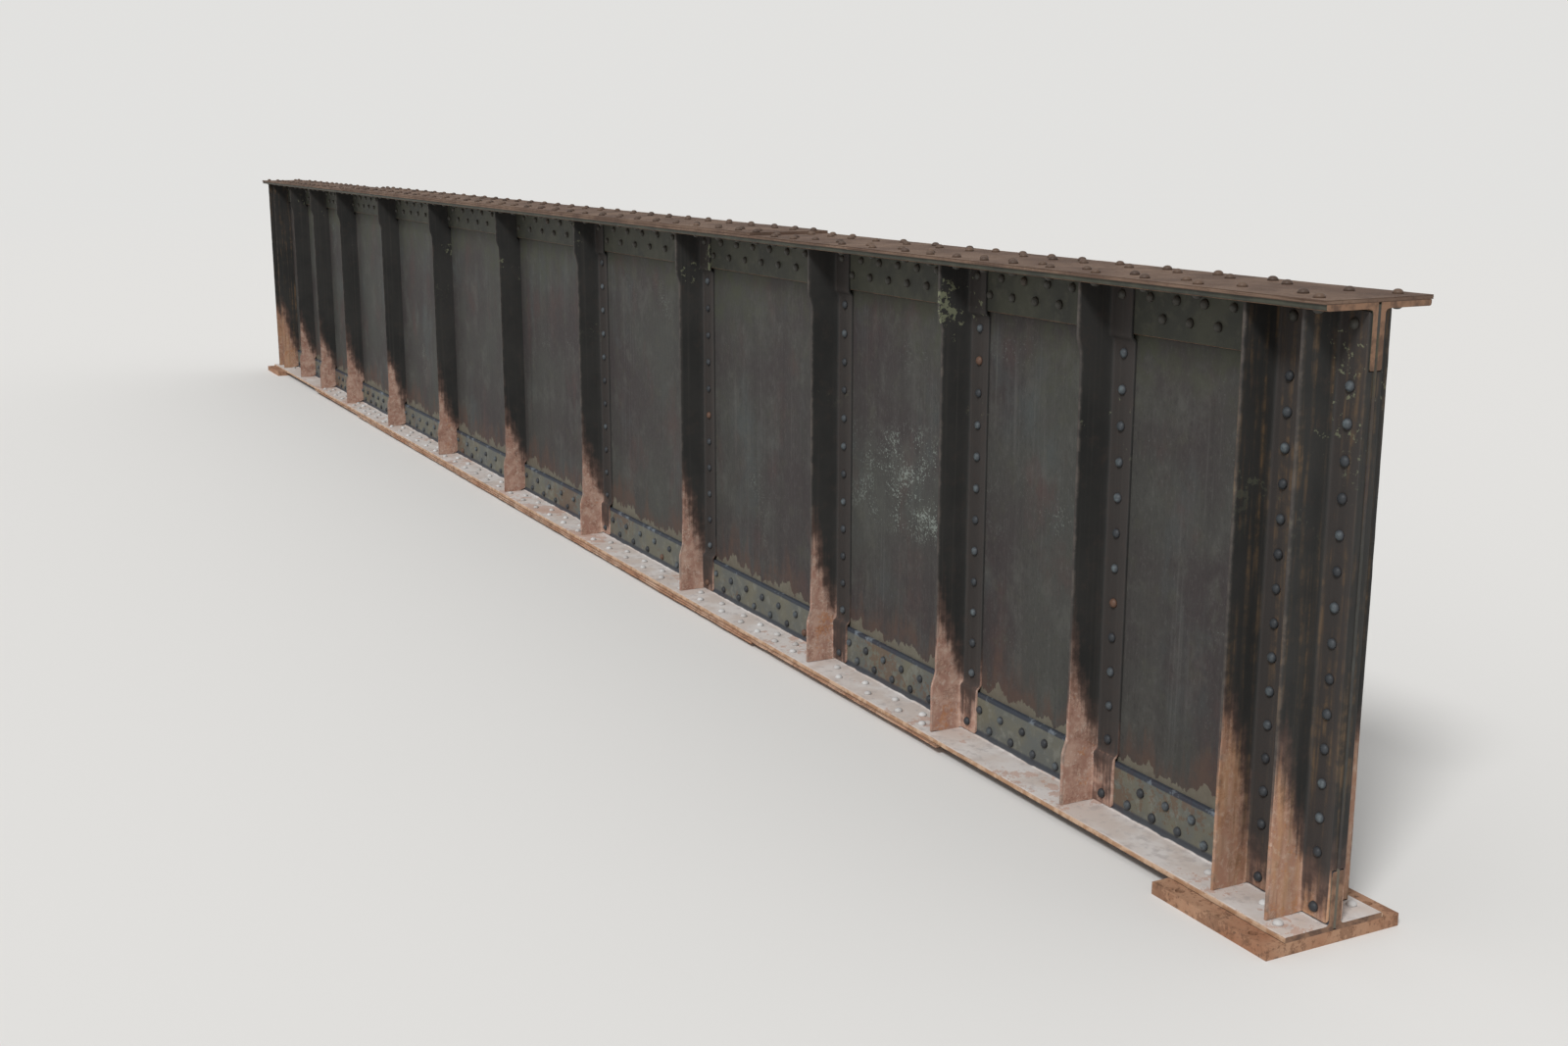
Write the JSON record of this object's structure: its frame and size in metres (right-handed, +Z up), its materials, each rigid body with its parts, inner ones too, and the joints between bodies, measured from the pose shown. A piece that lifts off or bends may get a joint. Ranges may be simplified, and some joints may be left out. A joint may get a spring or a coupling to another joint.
{
  "type": "riveted plate girder",
  "caption": "Riveted steel deck plate girder: deep web with flange angles, cover plates, crimped stiffener angles, end angles and sole plates.",
  "frame": {"origin": "middle of the bounding box at the undersides of the two sole plates", "axes": "+X along the girder to the right as seen from the outer face, -Y out of the outer face, +Z up"},
  "size_m": [15.85, 0.56, 2.064],
  "materials": {
    "web_paint": "old dark paint, matte, stained and flaking",
    "stiffener_paint": "old dark paint, matte, with red rust at the feet",
    "flange_angle_paint": "weathered grey-green paint over rust, dusty on its ledges",
    "cover_plate_rust": "rough orange-brown rust with remains of paint",
    "sole_plate_rust": "rough yellow-brown rust",
    "rivet_paint": "old paint worn thin on the heads"
  },
  "bodies": {
    "root": {"web_plate": "web_paint", "bottom_flange_angle_outer": "flange_angle_paint", "bottom_flange_angle_inner": "flange_angle_paint", "top_flange_angle_outer": "flange_angle_paint", "top_flange_angle_inner": "flange_angle_paint", "bottom_cover_plate_1": "cover_plate_rust", "bottom_cover_plate_2": "cover_plate_rust", "top_cover_plate_1": "cover_plate_rust", "top_cover_plate_2": "cover_plate_rust", "sole_plate_left": "sole_plate_rust", "sole_plate_right": "sole_plate_rust", "stiffener_outer_01": "stiffener_paint", "stiffener_outer_02": "stiffener_paint", "stiffener_outer_03": "stiffener_paint", "stiffener_outer_04": "stiffener_paint", "stiffener_outer_05": "stiffener_paint", "stiffener_outer_06": "stiffener_paint", "stiffener_outer_07": "stiffener_paint", "stiffener_outer_08": "stiffener_paint", "stiffener_outer_09": "stiffener_paint", "stiffener_outer_10": "stiffener_paint", "stiffener_outer_11": "stiffener_paint", "stiffener_inner_01": "stiffener_paint", "stiffener_inner_02": "stiffener_paint", "stiffener_inner_03": "stiffener_paint", "stiffener_inner_04": "stiffener_paint", "stiffener_inner_05": "stiffener_paint", "stiffener_inner_06": "stiffener_paint", "stiffener_inner_07": "stiffener_paint", "stiffener_inner_08": "stiffener_paint", "stiffener_inner_09": "stiffener_paint", "stiffener_inner_10": "stiffener_paint", "stiffener_inner_11": "stiffener_paint", "bearing_stiffener_outer_left": "stiffener_paint", "bearing_stiffener_outer_right": "stiffener_paint", "bearing_stiffener_inner_left": "stiffener_paint", "bearing_stiffener_inner_right": "stiffener_paint", "end_angle_outer_left": "stiffener_paint", "end_angle_outer_right": "stiffener_paint", "end_angle_inner_left": "stiffener_paint", "end_angle_inner_right": "stiffener_paint", "bearing_stiffener_filler_outer_left": "web_paint", "bearing_stiffener_filler_outer_right": "web_paint", "bearing_stiffener_filler_inner_left": "web_paint", "bearing_stiffener_filler_inner_right": "web_paint", "end_angle_filler_outer_left": "web_paint", "end_angle_filler_outer_right": "web_paint", "end_angle_filler_inner_left": "web_paint", "end_angle_filler_inner_right": "web_paint"}
  },
  "joints": []
}
